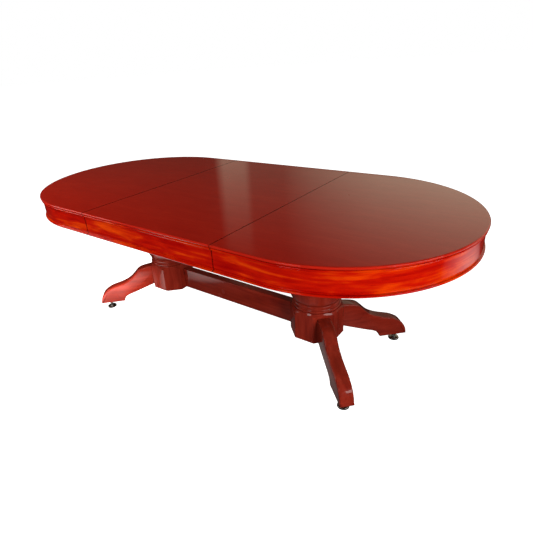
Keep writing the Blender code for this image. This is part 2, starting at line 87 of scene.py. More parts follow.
class Nodes:
    """A small helper that builds one material's node tree."""

    def __init__(self, name):
        self.material = bpy.data.materials.new(name)
        self.material.use_nodes = True
        self.tree = self.material.node_tree
        self.shader = self.tree.nodes["Principled BSDF"]

    def add(self, kind, **settings):
        node = self.tree.nodes.new(kind)
        for key, value in settings.items():
            if hasattr(node, key):
                setattr(node, key, value)
            else:
                node.inputs[key.replace("_", " ").title()].default_value = value
        return node

    def link(self, source, target):
        self.tree.links.new(source, target)

    def set(self, **values):
        for key, value in values.items():
            self.shader.inputs[key.replace("_", " ").title().replace("Ior", "IOR")].default_value = value

    def scaled(self, vector, scale):
        mapping = self.add("ShaderNodeMapping")
        mapping.inputs["Scale"].default_value = scale
        self.link(vector, mapping.inputs["Vector"])
        return mapping.outputs["Vector"]

    def noise(self, vector, scale, detail=3.0, roughness=0.5, distortion=0.0):
        node = self.add("ShaderNodeTexNoise", detail=detail, roughness=roughness, distortion=distortion)
        node.inputs["Scale"].default_value = 1.0
        self.link(self.scaled(vector, scale), node.inputs["Vector"])
        return node.outputs["Fac"]

    def ramp(self, value, stops):
        node = self.add("ShaderNodeValToRGB")
        elements = node.color_ramp.elements
        while len(elements) < len(stops):
            elements.new(0.5)
        for element, (position, color) in zip(elements, stops):
            element.position = position
            element.color = (*color, 1)
        self.link(value, node.inputs["Fac"])
        return node.outputs["Color"]

    def mix(self, factor, a, b, blend="MIX"):
        node = self.add("ShaderNodeMix", data_type="RGBA", blend_type=blend)
        for source, socket in ((factor, node.inputs[0]), (a, node.inputs[6]), (b, node.inputs[7])):
            if isinstance(source, (int, float)):
                socket.default_value = source
            elif isinstance(source, tuple):
                socket.default_value = (*source, 1)
            else:
                self.link(source, socket)
        return node.outputs[2]

    def math(self, operation, a, b=0.0, clamp=False):
        node = self.add("ShaderNodeMath", operation=operation, use_clamp=clamp)
        for source, socket in zip((a, b), node.inputs):
            if isinstance(source, (int, float)):
                socket.default_value = source
            else:
                self.link(source, socket)
        return node.outputs[0]

    def bump(self, height, strength, distance):
        node = self.add("ShaderNodeBump")
        node.inputs["Strength"].default_value = strength
        node.inputs["Distance"].default_value = distance
        self.link(height, node.inputs["Height"])
        return node.outputs["Normal"]

    def beside_seams(self, inner, outer):
        """1 within inner metres of either seam's line, falling to 0 at outer metres."""
        axes = self.add("ShaderNodeSeparateXYZ")
        self.link(self.add("ShaderNodeTexCoord").outputs["Object"], axes.inputs[0])
        offset = self.math("SUBTRACT", self.math("ABSOLUTE", axes.outputs["X"]), SEAM_X)
        far = self.math("DIVIDE", self.math("SUBTRACT", self.math("ABSOLUTE", offset), inner), outer - inner)
        return self.math("SUBTRACT", 1.0, far, clamp=True)

    def grain(self):
        """The piece's own (along the grain, across, across) position, in metres."""
        node = self.add("ShaderNodeAttribute", attribute_type="GEOMETRY", attribute_name="grain")
        return node.outputs["Vector"]


SEAM_DARK = (0.05, 0.002, 0.001)
SEAM_DARK_FULL, SEAM_DARK_END = 0.0016, 0.0030


def lacquered_wood(name, dark, middle, light, roughness, specular, coat=1.0, figure=1.0, darker_seams=False):
    """Stained hardwood under clear gloss lacquer, with streaks, flecks and closed pores along the grain.

    Its last argument makes the colour darker in the eased edges on either side of the cover's two seams.
    """
    m = Nodes(name)
    grain = m.grain()
    bands = m.noise(grain, (3.0, 48.0, 48.0), detail=4.0, roughness=0.55, distortion=0.6)
    clouds = m.noise(grain, (8.0, 24.0, 24.0), detail=2.0, roughness=0.5, distortion=0.3)
    fibres = m.noise(grain, (14.0, 420.0, 420.0), detail=3.0, roughness=0.6)
    pores = m.noise(grain, (55.0, 1500.0, 1500.0), detail=1.0)
    tone = m.math("ADD", m.math("MULTIPLY", bands, 0.55 * figure), m.math("MULTIPLY", clouds, 0.45 * figure))
    tone = m.math("ADD", tone, 0.5 - 0.5 * figure)
    stain = m.ramp(tone, [(0.34, dark), (0.50, middle), (0.66, light)])
    fibre_tint = m.ramp(fibres, [(0.30, (0.72, 0.66, 0.62)), (0.62, (1.0, 1.0, 1.0))])
    stain = m.mix(0.55, stain, fibre_tint, "MULTIPLY")
    pore_tint = m.ramp(pores, [(0.30, (0.45, 0.38, 0.35)), (0.36, (1.0, 1.0, 1.0))])
    stain = m.mix(0.6, stain, pore_tint, "MULTIPLY")
    if darker_seams:
        # Near-black in the eased edges beside the seams, fading out a little further from them.
        stain = m.mix(m.beside_seams(SEAM_DARK_FULL, SEAM_DARK_END), stain, SEAM_DARK)
    m.link(stain, m.shader.inputs["Base Color"])
    haze = m.noise(grain, (9.0, 9.0, 9.0), detail=2.0)
    m.link(m.math("ADD", m.math("MULTIPLY", haze, 0.10), roughness - 0.05), m.shader.inputs["Roughness"])
    m.link(m.bump(fibres, 0.10, 0.0003), m.shader.inputs["Normal"])
    m.set(specular_ior_level=specular, coat_weight=coat, coat_roughness=0.035, coat_ior=1.5)
    return m.material


def bare_wood(name, dark, light, roughness=0.62):
    """Sanded birch plywood and softwood without lacquer."""
    m = Nodes(name)
    coords = m.add("ShaderNodeTexCoord").outputs["Object"]
    rings = m.noise(coords, (2.0, 30.0, 120.0), detail=4.0, distortion=0.8)
    fibres = m.noise(coords, (18.0, 500.0, 500.0), detail=2.0)
    color = m.ramp(rings, [(0.35, dark), (0.65, light)])
    tint = m.ramp(fibres, [(0.3, (0.80, 0.76, 0.70)), (0.6, (1.0, 1.0, 1.0))])
    m.link(m.mix(0.6, color, tint, "MULTIPLY"), m.shader.inputs["Base Color"])
    m.link(m.bump(fibres, 0.25, 0.0004), m.shader.inputs["Normal"])
    m.set(roughness=roughness, specular_ior_level=0.3)
    return m.material


def brushed_metal(name, color, roughness, stretch):
    """Plated steel with fine machining marks; stretch is the noise scale along X, Y and Z."""
    m = Nodes(name)
    coords = m.add("ShaderNodeTexCoord").outputs["Object"]
    marks = m.noise(coords, stretch, detail=2.0)
    stains = m.noise(coords, (90.0, 90.0, 90.0), detail=3.0)
    worn = tuple(0.72 * c for c in color)
    m.link(m.ramp(stains, [(0.35, worn), (0.60, color)]), m.shader.inputs["Base Color"])
    m.link(m.math("ADD", m.math("MULTIPLY", marks, 0.22), roughness - 0.11), m.shader.inputs["Roughness"])
    m.link(m.bump(marks, 0.15, 0.0001), m.shader.inputs["Normal"])
    m.set(metallic=1.0)
    return m.material


def moulded_rubber(name, color):
    m = Nodes(name)
    coords = m.add("ShaderNodeTexCoord").outputs["Object"]
    speckle = m.noise(coords, (900.0, 900.0, 900.0), detail=2.0)
    scuffs = m.noise(coords, (60.0, 60.0, 60.0), detail=4.0)
    m.link(m.ramp(scuffs, [(0.4, color), (0.75, tuple(2.2 * c + 0.01 for c in color))]),
           m.shader.inputs["Base Color"])
    m.link(m.bump(speckle, 0.3, 0.0001), m.shader.inputs["Normal"])
    m.set(roughness=0.6, specular_ior_level=0.4)
    return m.material


def vinyl(name, color, lighter):
    """Upholstery vinyl with a pebbled leather grain, and painted shade in the creases between the pebbles."""
    m = Nodes(name)
    coords = m.add("ShaderNodeTexCoord").outputs["Object"]
    cells = m.add("ShaderNodeTexVoronoi", feature="DISTANCE_TO_EDGE")
    cells.inputs["Scale"].default_value = 520.0
    wobble = m.add("ShaderNodeTexNoise")
    wobble.inputs["Scale"].default_value = 160.0
    m.link(coords, wobble.inputs["Vector"])
    bent = m.add("ShaderNodeVectorMath", operation="MULTIPLY_ADD")
    m.link(wobble.outputs["Color"], bent.inputs[0])
    bent.inputs[1].default_value = (0.004, 0.004, 0.004)
    m.link(coords, bent.inputs[2])
    m.link(bent.outputs[0], cells.inputs["Vector"])
    pebbles = m.ramp(cells.outputs["Distance"], [(0.0, (0, 0, 0)), (0.22, (1, 1, 1))])
    patches = m.noise(coords, (5.0, 5.0, 5.0), detail=4.0)
    shade = m.ramp(patches, [(0.35, color), (0.7, lighter)])
    # Painted shade: the base colour is darkened towards the creases between the pebbles.
    crease_shade = m.ramp(cells.outputs["Distance"], [(0.0, (0.5, 0.5, 0.5)), (0.12, (1, 1, 1))])
    crease = m.mix(0.5, shade, crease_shade, "MULTIPLY")
    m.link(crease, m.shader.inputs["Base Color"])
    rough = m.noise(coords, (30.0, 30.0, 30.0), detail=3.0)
    m.link(m.math("ADD", m.math("MULTIPLY", rough, 0.2), 0.33), m.shader.inputs["Roughness"])
    m.link(m.bump(pebbles, 0.35, 0.0003), m.shader.inputs["Normal"])
    m.set(specular_ior_level=0.45)
    return m.material


def woven_cloth(name, color, lighter, threads=1400.0):
    """Napless playing cloth: a plain weave of so many threads a metre, with soft variation and sheen."""
    m = Nodes(name)
    coords = m.add("ShaderNodeTexCoord").outputs["Object"]
    axes = m.add("ShaderNodeSeparateXYZ")
    m.link(coords, axes.inputs[0])
    warp = m.math("SINE", m.math("MULTIPLY", axes.outputs["X"], threads * math.tau / 2))
    weft = m.math("SINE", m.math("MULTIPLY", axes.outputs["Y"], threads * math.tau / 2))
    weave = m.math("ADD", m.math("MULTIPLY", m.math("MULTIPLY", warp, weft), 0.5), 0.5)
    slubs = m.noise(coords, (40.0, 700.0, 40.0), detail=2.0)
    patches = m.noise(coords, (3.0, 3.0, 3.0), detail=4.0)
    shade = m.ramp(patches, [(0.35, color), (0.7, lighter)])
    shade = m.mix(0.35, shade, m.ramp(slubs, [(0.3, (0.7, 0.7, 0.7)), (0.6, (1, 1, 1))]), "MULTIPLY")
    shade = m.mix(0.3, shade, m.ramp(weave, [(0.0, (0.65, 0.65, 0.65)), (1.0, (1, 1, 1))]), "MULTIPLY")
    m.link(shade, m.shader.inputs["Base Color"])
    m.link(m.bump(weave, 0.3, 0.0003), m.shader.inputs["Normal"])
    m.set(roughness=0.92, specular_ior_level=0.2, sheen_weight=0.35, sheen_roughness=0.5)
    return m.material


TOP_WOOD = lacquered_wood(
    "top_mahogany", dark=(0.400, 0.010, 0.004), middle=(0.480, 0.014, 0.005), light=(0.560, 0.026, 0.009),
    roughness=0.30, specular=0.04, figure=0.4, darker_seams=True)
BAND_WOOD = lacquered_wood(
    "band_mahogany", dark=(0.300, 0.000, 0.000), middle=(0.460, 0.006, 0.000), light=(0.680, 0.052, 0.000),
    roughness=0.30, specular=0.03, coat=0.8, darker_seams=True)
# The base is the top's wood with a much darker stain: painted shade for the shade under the table top.
BASE_WOOD = lacquered_wood(
    "dark_mahogany", dark=(0.135, 0.008, 0.004), middle=(0.210, 0.015, 0.007), light=(0.280, 0.025, 0.013),
    roughness=0.26, specular=0.1, coat=0.8, figure=0.8)
PLYWOOD = bare_wood("plywood", (0.42, 0.27, 0.15), (0.62, 0.45, 0.28))
STEEL = brushed_metal("zinc_steel", (0.62, 0.61, 0.58), 0.32, (60.0, 60.0, 1400.0))
GLIDE_METAL = brushed_metal("glide_metal", (0.60, 0.58, 0.54), 0.25, (60.0, 60.0, 900.0))
RUBBER = moulded_rubber("glide_rubber", (0.020, 0.018, 0.017))
VINYL = vinyl("rail_vinyl", (0.026, 0.015, 0.012), (0.052, 0.030, 0.023))
CLOTH = woven_cloth("playing_cloth", (0.010, 0.085, 0.040), (0.018, 0.125, 0.058))
FOAM = moulded_rubber("cloth_foam", (0.035, 0.035, 0.036))


# ---------------------------------------------------------------- mesh helpers

def skin(bm, rings, wrap_ring, wrap_path):
    """Quads between each ring of vertices and the next one along the path."""
    following = rings[1:] + rings[:1] if wrap_path else rings[1:]
    for ring, after in zip(rings, following):
        for i in range(len(ring) if wrap_ring else len(ring) - 1):
            j = (i + 1) % len(ring)
            bm.faces.new((ring[i], ring[j], after[j], after[i]))


def closed_skin(bm, rings):
    """A skin round closed rings, with a cap at each end."""
    skin(bm, rings, wrap_ring=True, wrap_path=False)
    bm.faces.new(rings[0])
    bm.faces.new(rings[-1])


def mesh_of(name, bm):
    mesh = bpy.data.meshes.new(name)
    bm.to_mesh(mesh)
    bm.free()
    return mesh


def linked(name, data):
    """A new object in the scene."""
    obj = bpy.data.objects.new(name, data)
    bpy.context.scene.collection.objects.link(obj)
    return obj


def finish_piece(name, bm, material, body, replaces=(), grain=None, sharp=38.0):
    """Turns bm into a visible piece that rides on a body and stands for the CAD nodes named."""
    bmesh.ops.recalc_face_normals(bm, faces=bm.faces)
    mesh = mesh_of(name, bm)
    mesh.shade_smooth()
    mesh.set_sharp_from_angle(angle=math.radians(sharp))
    if grain:
        layer = mesh.attributes.new("grain", "FLOAT_VECTOR", "POINT")
        for vertex, value in zip(mesh.vertices, layer.data):
            value.vector = grain(vertex.co)
    mesh.materials.append(material)
    obj = linked(name, mesh)
    if replaces:
        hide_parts(*replaces)
    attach(obj, body)
    return obj


def eased(obj, width, segments=2, angle=50.0):
    modifier = obj.modifiers.new("eased_edges", "BEVEL")
    modifier.width = width
    modifier.segments = segments
    modifier.limit_method = "ANGLE"
    modifier.angle_limit = math.radians(angle)
    modifier.harden_normals = True


def arc(center, radii, start, end, steps):
    """Points of an elliptical arc in degrees, both ends included."""
    turns = [math.radians(start + (end - start) * k / steps) for k in range(steps + 1)]
    return [(center[0] + radii[0] * math.cos(t), center[1] + radii[1] * math.sin(t)) for t in turns]


def bezier(start, start_handle, end_handle, end, steps):
    """Points of a cubic curve, without its first point."""
    knots = [Vector((*point, 0)) for point in (start, start_handle, end_handle, end)]
    return [(p.x, p.y) for p in interpolate_bezier(*knots, steps + 1)][1:]


def circle(center, radius, segments):
    turns = [math.tau * k / segments for k in range(segments)]
    return [(center[0] + radius * math.cos(t), center[1] + radius * math.sin(t)) for t in turns]


def turned(bm, profile, segments, center=(0.0, 0.0), bored=False):
    """A turned surface about a vertical axis from (radius, z) rows; closed by its ends unless it is bored."""
    rings = [[bm.verts.new((x, y, z)) for x, y in circle(center, radius, segments)]
             for radius, z in profile]
    if bored:
        skin(bm, rings, wrap_ring=True, wrap_path=True)
    else:
        closed_skin(bm, rings)


def prism(bm, outline, low, high):
    closed_skin(bm, [[bm.verts.new((x, y, z)) for x, y in outline] for z in (low, high)])


def bar(section, x_low, x_high, steps):
    """A (y, z) cross-section run along X, with a row of points at every step."""
    bm = bmesh.new()
    xs = [x_low + (x_high - x_low) * k / steps for k in range(steps + 1)]
    closed_skin(bm, [[bm.verts.new((x, y, z)) for y, z in section] for x in xs])
    return bm


# ---------------------------------------------------------------- racetrack outline

def arc_stations(side, steps=ARC_STEPS):
    first = -90 if side > 0 else 90
    return [(side * HALF_STRAIGHT, math.radians(first + 180 * k / steps)) for k in range(steps + 1)]


def straight_stations(x_from, x_to, angle, steps):
    return [(x_from + (x_to - x_from) * k / steps, angle) for k in range(steps + 1)]


def end_stations(side):
    """One end section's outline, from its seam round to its seam."""
    bend = arc_stations(side)
    out = straight_stations(side * SEAM_X, side * HALF_STRAIGHT, bend[0][1], 6)[:-1]
    back = straight_stations(side * HALF_STRAIGHT, side * SEAM_X, bend[-1][1], 6)[1:]
    return out + bend + back


def outline_point(station, inset, z):
    center_x, angle = station
    reach = END_RADIUS - inset
    return (center_x + reach * math.cos(angle), reach * math.sin(angle), z)


def along_outline(point):
    """The grain position of a band piece: arc length round the table, height, and depth."""
    x, y = point.x, point.y
    if abs(x) <= HALF_STRAIGHT:
        return (x * math.copysign(1, -y), point.z, abs(y))
    side = math.copysign(1, x)
    dx = abs(x) - HALF_STRAIGHT
    angle = math.atan2(dx, abs(y))
    length = (HALF_STRAIGHT + angle * END_RADIUS) * side * math.copysign(1, -y)
    if y > 0:
        length = side * (HALF_STRAIGHT + (math.pi - angle) * END_RADIUS)
    return (length, point.z, math.hypot(dx, y))


def straight_grain(point):
    return (point.x, point.y, point.z)


def upright_grain(point):
    return (point.z, point.x, point.y)


def sawn_grain(point):
    """The grain of a leg in its own axes: along it, up it, and across its thickness."""
    return (point.x, point.z, point.y)


# ---------------------------------------------------------------- dining cover

def panel_edge():
    """The rebated edge from the top face down: a half-round nose over a quirk. Points are (inset, z)."""
    nose_z = HEIGHT - 0.0050
    clear = 0.0003
    edge = [(0.0300, HEIGHT), (0.0090, HEIGHT)]
    edge += arc((0.0062, nose_z), (0.0062, 0.0050), 90, 180, 10)
    edge += arc((0.0046, nose_z), (0.0046, 0.0046), 180, 262, 7)[1:]
    edge += [(0.0058, HEIGHT - 0.0102), (0.0060, LIP_TOP + clear)]
    edge += [(SKIRT_INNER + clear, LIP_TOP + clear), (SKIRT_INNER + clear, PANEL_BOTTOM)]
    return edge


def skirt_section():
    """The band with the small rounded moulding on its upper edge.

    The second row at each end of the flat face keeps its shading flat.
    """
    ease = 0.0008
    section = arc((LIP_INSET + 0.0036, LIP_TOP - 0.0038), (0.0036, 0.0038), 80, 235, 10)
    section += [(SKIRT_INSET - 0.0012, PANEL_BOTTOM + 0.0004), (SKIRT_INSET - 0.0002, PANEL_BOTTOM)]
    section += [(SKIRT_INSET, PANEL_BOTTOM - 0.0010), (SKIRT_INSET, PANEL_BOTTOM - 0.0016)]
    section += [(SKIRT_INSET, SKIRT_BOTTOM + ease + 0.0006), (SKIRT_INSET, SKIRT_BOTTOM + ease)]
    section += [(SKIRT_INSET + ease, SKIRT_BOTTOM)]
    return section + [(SKIRT_INNER, SKIRT_BOTTOM), (SKIRT_INNER, LIP_TOP)]


def bead_section():
    """A narrow groove under the band, then a half-round bead that stands out near the nose's line."""
    section = [(SKIRT_INSET + 0.0004, BEAD_TOP), (0.0120, BEAD_TOP - 0.0008)]
    section += [(0.0126, BEAD_TOP - 0.0020), (0.0126, BEAD_TOP - 0.0068), (0.0106, BEAD_TOP - 0.0078)]
    section += arc((0.0072, BEAD_BOTTOM + 0.0042), (0.0042, 0.0042), 95, 262, 14)
    section += [(0.0120, BEAD_BOTTOM), (SKIRT_INNER, BEAD_BOTTOM), (SKIRT_INNER, BEAD_TOP)]
    return section


def racetrack_slab(stations, edge, whole=False):
    bm = bmesh.new()
    rings = [[bm.verts.new(outline_point(s, inset, z)) for inset, z in edge] for s in stations]
    skin(bm, rings, wrap_ring=False, wrap_path=whole)
    bm.faces.new([ring[0] for ring in rings])
    bm.faces.new([ring[-1] for ring in rings])
    if not whole:
        bm.faces.new(rings[0] + rings[-1][::-1])
    return bm


def racetrack_strip(stations, section):
    bm = bmesh.new()
    closed_skin(bm, [[bm.verts.new(outline_point(s, inset, z)) for inset, z in section] for s in stations])
    return bm


def centre_bar(section):
    """A (y, z) cross-section run from seam to seam."""
    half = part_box("cover_panel_centre")[1].x
    return bar(section, -half, half, 12)


SEAM_EASE = 0.0011
BAND_PARTS = (("band_", "skirt_", skirt_section), ("bead_", "base_bead_", bead_section))


def panel_piece(name, bm, body):
    eased(finish_piece("panel_" + name, bm, TOP_WOOD, body, ["cover_panel_" + name],
                       straight_grain), SEAM_EASE)


def band_piece(name, bm, body, node):
    eased(finish_piece(name, bm, BAND_WOOD, body, [node], along_outline), SEAM_EASE)


def dining_cover():
    for name, side in SIDES:
        stations = end_stations(side)
        panel_piece(name, racetrack_slab(stations, panel_edge()), "cover_" + name)
        for stem, node, section in BAND_PARTS:
            band_piece(stem + name, racetrack_strip(stations, section()), "cover_" + name, node + name)
    front = [(-(END_RADIUS - inset), z) for inset, z in panel_edge()]
    back = [(-y, z) for y, z in reversed(front)]
    panel_piece("centre", centre_bar(front + back), "cover_centre")
    for name, side in ENDS:
        for stem, node, section in BAND_PARTS:
            placed = [(side * (END_RADIUS - inset), z) for inset, z in section()]
            band_piece(f"{stem}centre_{name}", centre_bar(placed), "cover_centre", f"{node}centre_{name}")


# ---------------------------------------------------------------- pedestals

def urn_profile():
    """The turned urn from its foot to its top, as (radius, z)."""
    base = URN_BOTTOM
    points = [(0.1115, base)]
    points += arc((0.1123, base + 0.0070), (0.0047, 0.0068), -80, 80, 12)
    points += [(0.1112, base + 0.0142), (0.1100, base + 0.0158), (0.1096, base + 0.0180)]
    points += arc((0.1098, 0.3035), (0.0047, 0.0080), -78, 78, 14)
    points += [(0.1086, 0.3120), (0.1062, 0.3132), (0.1055, 0.3146), (0.1062, 0.3160), (0.1120, 0.3170)]
    points += [(0.1150, 0.3180)]
    points += bezier(points[-1], (0.1230, 0.3230), (0.1345, 0.3550), (0.1340, 0.3950), 22)
    points += bezier(points[-1], (0.1335, 0.4450), (0.0760, 0.4400), (0.0740, 0.4895), 22)
    points += arc((0.0740, 0.4980), (0.0080, 0.0075), -80, 80, 12)
    points += bezier((0.0742, 0.5065), (0.0760, 0.5350), (0.1000, 0.5350), (0.1055, 0.5560), 14)
    points += [(0.1060, 0.5580), (0.1060, URN_TOP)]
    return points


def octagon(apothem):
    reach = apothem / math.cos(math.pi / 8)
    angles = [math.pi / 8 + math.pi / 4 * k for k in range(8)]
    return [(reach * math.cos(a), reach * math.sin(a)) for a in angles]


def octagonal_block(name, x):
    """The octagonal block; its top edge is where the turned shoulder meets the eight faces."""
    bottom, top = BLOCK_LOW.z, BLOCK_HIGH.z
    corner_ease, foot_ease, flatness = 0.0016, 0.0012, 1e-5
    bm = bmesh.new()
    prism(bm, octagon(BLOCK_APOTHEM), bottom, top)
    upright = [e for e in bm.edges if abs(e.verts[0].co.z - e.verts[1].co.z) > (top - bottom) / 2]
    bmesh.ops.bevel(bm, geom=upright, offset=corner_ease, segments=3, profile=0.5, affect="EDGES")
    low = [e for e in bm.edges if max(v.co.z for v in e.verts) < bottom + flatness]
    bmesh.ops.bevel(bm, geom=low, offset=foot_ease, segments=2, profile=0.5, affect="EDGES")
    bmesh.ops.recalc_face_normals(bm, faces=bm.faces)
    blank = linked("prism", mesh_of("prism", bm))
    clear_of_corners = 0.145
    shoulder = [(clear_of_corners, bottom - 0.01), (clear_of_corners, top - 0.033)]
    shoulder += bezier(shoulder[-1], (0.133, top - 0.021), (0.124, top - 0.014), (0.1165, top), 14)
    bm = bmesh.new()
    turned(bm, shoulder, 128)
    bmesh.ops.recalc_face_normals(bm, faces=bm.faces)
    cutter = linked("shoulder", mesh_of("shoulder", bm))
    cut = blank.modifiers.new("cut", "BOOLEAN")
    cut.operation = "INTERSECT"
    cut.object = cutter
    bpy.context.view_layer.update()
    shaped = bmesh.new()
    shaped.from_object(blank, bpy.context.evaluated_depsgraph_get())
    for obj in (blank, cutter):
        bpy.data.objects.remove(obj)
    bmesh.ops.translate(shaped, verts=shaped.verts, vec=(x, 0, 0))
    finish_piece("block_form_" + name, shaped, BASE_WOOD, ROOT, ["block_" + name],
                 upright_grain, sharp=24.0)


def pedestals():
    for name, side in SIDES:
        x = side * PEDESTAL_X
        bm = bmesh.new()
        turned(bm, urn_profile(), 128, (x, 0))
        finish_piece("urn_form_" + name, bm, BASE_WOOD, ROOT, ["urn_" + name],
                     upright_grain)
        octagonal_block(name, x)


def stretcher():
    low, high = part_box("stretcher")
    section = [(low.y, low.z), (high.y, low.z), (high.y, high.z), (low.y, high.z)]
    rail = finish_piece("stretcher_form", bar(section, low.x, high.x, 10), BASE_WOOD, ROOT,
                        ["stretcher"], straight_grain)
    eased(rail, width=0.003, segments=4)


# ---------------------------------------------------------------- legs

LEG_ROOT = BLOCK_APOTHEM + 0.0003
LEG_HALF = 0.031
LEG_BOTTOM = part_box("leg_front_right")[0].z
LEG_TOE = 0.4575
LEG_ROUND = 0.0075
LEG_EASE = 0.0015


def leg_top():
    """The leg's upper line from the block to the toe: (distance from the pedestal's axis, height)."""
    points = [(LEG_ROOT, 0.2555)]
    points += bezier(points[-1], (0.150, 0.251), (0.188, 0.2475), (0.205, 0.235), 14)
    points += bezier(points[-1], (0.217, 0.2262), (0.233, 0.2075), (0.250, 0.191), 12)
    points += bezier(points[-1], (0.266, 0.1755), (0.300, 0.1598), (0.330, 0.152), 12)
    points += bezier(points[-1], (0.355, 0.145), (0.383, 0.140), (0.400, 0.128), 12)
    points += bezier(points[-1], (0.428, 0.116), (0.456, 0.085), (LEG_TOE, LEG_BOTTOM + LEG_EASE), 18)
    return points


def leg_underside():
    points = [(LEG_TOE - LEG_EASE, LEG_BOTTOM), (0.3190, LEG_BOTTOM), (0.3175, LEG_BOTTOM + LEG_EASE)]
    points += bezier(points[-1], (0.315, 0.064), (0.298, 0.079), (0.262, 0.0885), 16)
    points += bezier(points[-1], (0.225, 0.100), (0.165, 0.1225), (LEG_ROOT, 0.138), 10)
    return points


def inward(line, depth):
    """A line moved by depth to the right of its own direction, which is into the leg for both edges."""
    moved = []
    for i, (u, z) in enumerate(line):
        before, after = line[max(i - 1, 0)], line[min(i + 1, len(line) - 1)]
        run, rise = after[0] - before[0], after[1] - before[1]
        size = math.hypot(run, rise)
        moved.append((u + depth * rise / size, z - depth * run / size))
    return moved


def leg_layers():
    """(y, depth of the upper edge, depth of the lower edge) from one side face to the other."""
    round_steps = 6
    half = []
    for k in range(round_steps + 1):
        a = math.pi / 2 * k / round_steps
        half.append((LEG_HALF - LEG_ROUND * (1 - math.sin(a)), LEG_ROUND * (1 - math.cos(a)),
                     LEG_EASE * (1 - math.cos(a))))
    return [(-y, top, low) for y, top, low in reversed(half)] + half


def leg_rows():
    """The leg's closed outline at each layer, in its own axes; its root stays flat against the block."""
    upper, lower = leg_top(), leg_underside()
    rows = []
    for y, top_depth, low_depth in leg_layers():
        top = inward(upper, top_depth)
        top[0] = (LEG_ROOT, upper[0][1] - top_depth)
        low = inward(lower, low_depth)
        low[-1] = (LEG_ROOT, lower[-1][1] + low_depth)
        rows.append([Vector((u, y, z)) for u, z in top + low])
    return rows


def legs():
    for end, end_side in ENDS:
        for name, side in SIDES:
            turn = math.atan2(end_side, side)
            place = Matrix.Translation((side * PEDESTAL_X, 0, 0)) @ Matrix.Rotation(turn, 4, "Z")
            bm = bmesh.new()
            closed_skin(bm, [[bm.verts.new(place @ point) for point in row] for row in leg_rows()])
            unturned = place.inverted()
            finish_piece(f"leg_form_{end}_{name}", bm, BASE_WOOD, ROOT,
                         [f"leg_{end}_{name}"], lambda p: sawn_grain(unturned @ p), sharp=50.0)


# ---------------------------------------------------------------- levelling glides

def glides():
    for end, _ in ENDS:
        for name, _ in SIDES:
            corner = f"{end}_{name}"
            low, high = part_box("foot_base_" + corner)
            center = ((low.x + high.x) / 2, (low.y + high.y) / 2)
            radius = (high.x - low.x) / 2
            glide_disc(corner, center, radius, high.z)
            threaded_stem(corner, center)
            insert_flange(corner, center)


def glide_disc(corner, center, radius, hub_top):
    rubber_top = 0.0038
    bm = bmesh.new()
    sole = [(radius - 0.0040, 0.0)] + arc((radius - 0.0012, 0.0012), (0.0012, 0.0012), -90, 0, 4)
    sole += [(radius, rubber_top - 0.0008), (radius - 0.0008, rubber_top)]
    turned(bm, sole, 64, center)
    finish_piece("glide_sole_" + corner, bm, RUBBER, "glide_" + corner,
                 ["foot_base_" + corner])
    bm = bmesh.new()
    cup = [(radius - 0.0012, rubber_top + 0.0001), (radius - 0.0008, rubber_top + 0.0010)]
    cup += arc((radius - 0.0038, 0.0058), (0.0028, 0.0030), 0, 80, 6)
    cup += [(0.0150, 0.0092), (0.0118, 0.0098)]
    cup += arc((0.0098, 0.0116), (0.0016, 0.0014), 0, 90, 4)
    cup += [(0.0060, hub_top)]
    turned(bm, cup, 64, center)
    finish_piece("glide_cup_" + corner, bm, GLIDE_METAL, "glide_" + corner)


def threaded_stem(corner, center):
    """A stem with a real helical thread, and the hexagon that a spanner turns."""
    thread_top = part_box("foot_stem_" + corner)[1].z - 0.0005
    crest, depth, pitch = 0.0050, 0.0007, 0.0015
    start, per_turn, segments = 0.0135, 6, 24
    bm = bmesh.new()
    rings = []
    count = int((thread_top - start) / pitch * per_turn)
    for row in range(count + 1):
        z = start + row * pitch / per_turn
        ring = []
        for k in range(segments):
            phase = (z / pitch - k / segments) % 1
            radius = crest - depth * abs(2 * phase - 1)
            t = math.tau * k / segments
            x, y = center[0] + radius * math.cos(t), center[1] + radius * math.sin(t)
            ring.append(bm.verts.new((x, y, z)))
        rings.append(ring)
    closed_skin(bm, rings)
    finish_piece("stem_thread_" + corner, bm, STEEL, "stem_" + corner, ["foot_stem_" + corner],
                 sharp=60.0)
    half_flats, hexagon_low, hexagon_high = 0.0085, 0.0162, 0.0228
    reach = half_flats / math.cos(math.pi / 6)
    turns = [math.pi / 3 * k + math.pi / 6 for k in range(6)]
    bm = bmesh.new()
    prism(bm, [(center[0] + reach * math.cos(t), center[1] + reach * math.sin(t)) for t in turns],
          hexagon_low, hexagon_high)
    hexagon = finish_piece("stem_hexagon_" + corner, bm, STEEL, "stem_" + corner)
    eased(hexagon, width=0.0006, angle=40.0)


def insert_flange(corner, center):
    """The threaded insert's rim, just proud of the leg's underside."""
    low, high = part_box("foot_insert_" + corner)
    outer, bore, chamfer = (high.x - low.x) / 2, 0.0053, 0.0005
    rim_z = low.z - 0.0002
    bm = bmesh.new()
    profile = [(outer, high.z), (outer, low.z), (outer - 0.0006, rim_z), (bore + chamfer, rim_z),
               (bore, rim_z + chamfer), (bore, high.z)]
    turned(bm, profile, 48, center, bored=True)
    finish_piece("insert_form_" + corner, bm, STEEL, ROOT, ["foot_insert_" + corner])


# ---------------------------------------------------------------- playing frame

RAIL_OUTER = END_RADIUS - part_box("padded_rail")[1].y
RAIL_WIDTH = 0.105
RAIL_LOW, RAIL_HIGH = (corner.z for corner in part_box("padded_rail"))
RAIL_SEAMS = 10
STITCH_DEPTH, STITCH_REACH = 0.0052, 0.0050
VALLEY_DEPTH, VALLEY_REACH = 0.0022, 0.030
PUCKER_DEPTH, PUCKER_REACH = 0.0008, 0.035
RAIL_WANDER = 0.0007


